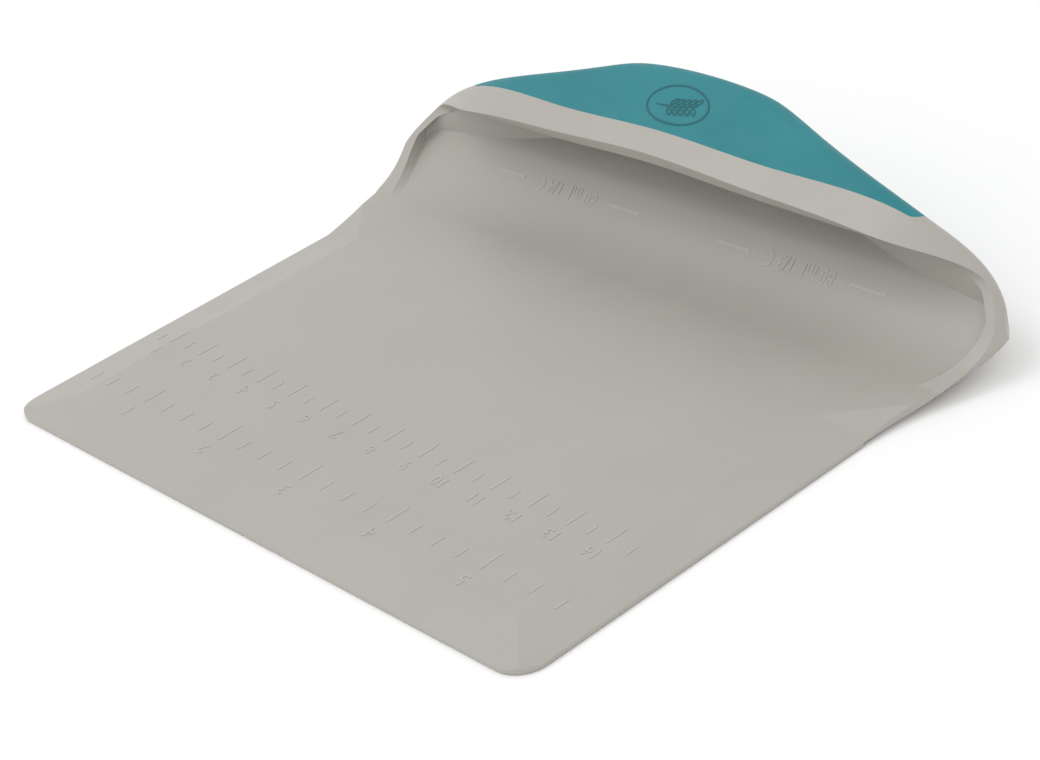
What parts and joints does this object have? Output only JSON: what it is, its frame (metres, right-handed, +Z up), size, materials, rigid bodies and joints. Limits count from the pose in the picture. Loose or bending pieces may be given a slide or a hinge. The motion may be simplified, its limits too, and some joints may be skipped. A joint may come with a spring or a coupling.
{
  "type": "bench scraper",
  "caption": "Grey moulded bench scraper: a bevelled flat blade whose floor curves up into a scoop hood for lifting dough, with a soft teal grip along the hood.",
  "frame": {"origin": "middle of the part's footprint (bounding box), on the underside", "axes": "+Z up from the flat underside, +Y from the blade's front edge toward the hood, +X to the right seen from the front edge"},
  "size_m": [0.1652, 0.1266, 0.0351],
  "materials": {
    "grey_plastic": "satin moulded",
    "teal_grip": "soft matte"
  },
  "bodies": {
    "root": {"scraper_body": "grey_plastic", "soft_grip": "teal_grip"}
  },
  "joints": []
}
